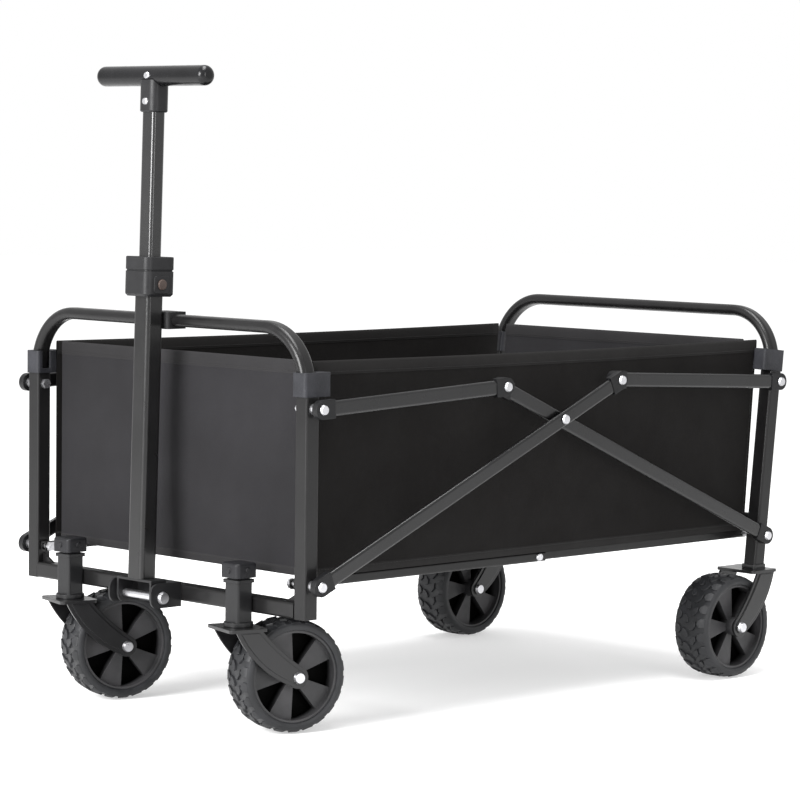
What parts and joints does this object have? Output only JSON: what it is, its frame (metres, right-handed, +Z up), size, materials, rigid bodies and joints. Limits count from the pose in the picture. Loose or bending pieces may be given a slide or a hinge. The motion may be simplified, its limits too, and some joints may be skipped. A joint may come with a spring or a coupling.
{
  "type": "folding camp wagon",
  "caption": "Folding camp wagon: open fabric basket in a scissor-link steel frame, swivelling front casters, fixed rear wheels and a telescopic pull handle that tilts forward.",
  "frame": {"origin": "on the ground, under the middle of the wagon's outer box", "axes": "+X forward, towards the handle end; +Y to the wagon's left; +Z up"},
  "size_m": [0.9379, 0.5788, 0.8078],
  "materials": {
    "frame_paint": "satin black",
    "housing_paint": "satin black",
    "floor_paint": "satin black",
    "link_paint": "satin black",
    "link_caps": "matte black",
    "sleeve_plastic": "textured dark grey",
    "zinc": "bright zinc",
    "fork_paint": "satin black",
    "cap_plastic": "matte black",
    "tyre": "matte rubber",
    "rim": "satin dark grey",
    "fabric_side": "woven black",
    "fabric_end": "woven charcoal",
    "mat": "padded black",
    "tube_paint": "satin black",
    "inner_tube": "gloss dark grey",
    "collar_plastic": "matte black",
    "grip": "gloss black",
    "button": "dark brown",
    "bumper": "matte black"
  },
  "bodies": {
    "front_frame": {"front_upright_left": "frame_paint", "front_upright_right": "frame_paint", "front_crossbar": "frame_paint", "front_hoop": "frame_paint", "front_corner_sleeves": "sleeve_plastic", "caster_housings": "housing_paint", "caster_caps": "cap_plastic", "hitch_bracket": "housing_paint", "hitch_bolt": "zinc", "hoop_bumper": "bumper", "front_pivot_pins": "zinc", "basket_front": "fabric_end", "basket_trough": "fabric_side"},
    "bars_a": {"long_bars_a": "link_paint", "long_bars_a_end_caps": "link_caps", "long_bars_a_rivets": "zinc"},
    "bars_b": {"long_bars_b": "link_paint", "long_bars_b_end_caps": "link_caps"},
    "rear_frame": {"rear_upright_left": "frame_paint", "rear_upright_right": "frame_paint", "rear_crossbar": "frame_paint", "rear_hoop": "frame_paint", "rear_corner_sleeves": "sleeve_plastic", "rear_forks": "fork_paint", "rear_axles": "zinc", "rear_pivot_pins": "zinc", "basket_rear": "fabric_end"},
    "rods_front": {"front_rods": "link_paint", "front_rods_end_caps": "link_caps", "front_knuckle_rivets": "zinc"},
    "rods_rear": {"rear_rods": "link_paint", "rear_rods_end_caps": "link_caps"},
    "floor_front": {"floor_frame_front": "floor_paint", "floor_mat_front": "mat", "floor_hinge_rivets": "zinc"},
    "floor_rear": {"floor_frame_rear": "floor_paint", "floor_mat_rear": "mat"},
    "handle": {"handle_clevis": "housing_paint", "handle_outer_tube": "tube_paint", "handle_collar": "collar_plastic"},
    "handle_inner": {"handle_inner_tube": "inner_tube", "handle_neck": "collar_plastic", "handle_grip": "grip", "handle_rivets": "zinc"},
    "collar_button": {"collar_button": "button"},
    "caster_left": {"caster_fork_left": "fork_paint", "caster_axle_left": "zinc"},
    "wheel_front_left": {"tyre_front_left": "tyre", "rim_front_left": "rim"},
    "wheel_rear_left": {"tyre_rear_left": "tyre", "rim_rear_left": "rim"},
    "caster_right": {"caster_fork_right": "fork_paint", "caster_axle_right": "zinc"},
    "wheel_front_right": {"tyre_front_right": "tyre", "rim_front_right": "rim"},
    "wheel_rear_right": {"tyre_rear_right": "tyre", "rim_rear_right": "rim"}
  },
  "joints": [
    {"name": "fold", "type": "hinge", "parent": "front_frame", "child": "bars_a", "pos_m": [0.4099, 0, 0.19], "axis": [0, 1, 0], "range_deg": [0, 50], "deforming": ["basket_trough"]},
    {"name": "bars_b_pivot", "type": "hinge", "parent": "bars_a", "child": "bars_b", "pos_m": [-0.0081, 0, 0.37], "axis": [0, 1, 0], "range_deg": [-100, 0]},
    {"name": "rear_frame_pivot", "type": "hinge", "parent": "bars_b", "child": "rear_frame", "pos_m": [-0.4261, 0, 0.19], "axis": [0, 1, 0], "range_deg": [0, 56]},
    {"name": "rods_front_pivot", "type": "hinge", "parent": "front_frame", "child": "rods_front", "pos_m": [0.4099, 0, 0.401], "axis": [0, 1, 0], "range_deg": [0, 66.6]},
    {"name": "rods_rear_pivot", "type": "hinge", "parent": "rear_frame", "child": "rods_rear", "pos_m": [-0.44816, 0, 0.39984], "axis": [0, 1, 0], "range_deg": [-75.4, 0]},
    {"name": "floor_front_pivot", "type": "hinge", "parent": "front_frame", "child": "floor_front", "pos_m": [0.4099, 0, 0.19], "axis": [0, 1, 0], "range_deg": [0, 71.77]},
    {"name": "floor_rear_pivot", "type": "hinge", "parent": "rear_frame", "child": "floor_rear", "pos_m": [-0.4261, 0, 0.19], "axis": [0, 1, 0], "range_deg": [-77.77, 0]},
    {"name": "caster_swivel_left", "type": "hinge", "parent": "front_frame", "child": "caster_left", "pos_m": [0.4329, 0.163, 0.1325], "axis": [0, 0, 1], "continuous": true},
    {"name": "wheel_spin_front_left", "type": "hinge", "parent": "caster_left", "child": "wheel_front_left", "pos_m": [0.37012, 0.17982, 0.07], "axis": [0.2588, 0.9659, 0], "continuous": true},
    {"name": "wheel_spin_rear_left", "type": "hinge", "parent": "rear_frame", "child": "wheel_rear_left", "pos_m": [-0.3661, 0.249, 0.07], "axis": [0, 1, 0], "continuous": true},
    {"name": "caster_swivel_right", "type": "hinge", "parent": "front_frame", "child": "caster_right", "pos_m": [0.4329, -0.163, 0.1325], "axis": [0, 0, 1], "continuous": true},
    {"name": "wheel_spin_front_right", "type": "hinge", "parent": "caster_right", "child": "wheel_front_right", "pos_m": [0.37012, -0.14618, 0.07], "axis": [0.2588, 0.9659, 0], "continuous": true},
    {"name": "wheel_spin_rear_right", "type": "hinge", "parent": "rear_frame", "child": "wheel_rear_right", "pos_m": [-0.3661, -0.249, 0.07], "axis": [0, 1, 0], "continuous": true},
    {"name": "handle_tilt", "type": "hinge", "parent": "front_frame", "child": "handle", "pos_m": [0.4504, 0, 0.155], "axis": [0, 1, 0], "range_deg": [0, 95]},
    {"name": "handle_slide", "type": "slide", "parent": "handle", "child": "handle_inner", "axis": [-0.0262, 0, 0.9997], "range_m": [-0.165, 0.12]},
    {"name": "collar_button_press", "type": "slide", "parent": "handle", "child": "collar_button", "axis": [0, -1, 0], "range_m": [0, 0.003], "stiffness_N_per_m": 400}
  ],
  "couplings": [
    {"joint": "bars_b_pivot", "follows": "fold", "ratio": -2},
    {"joint": "rear_frame_pivot", "follows": "fold", "ratio": 1.12},
    {"joint": "rods_front_pivot", "follows": "fold", "ratio": 1.332},
    {"joint": "rods_rear_pivot", "follows": "fold", "ratio": -1.508},
    {"joint": "floor_front_pivot", "follows": "fold", "ratio": 1.4354},
    {"joint": "floor_rear_pivot", "follows": "fold", "ratio": -1.5554}
  ]
}
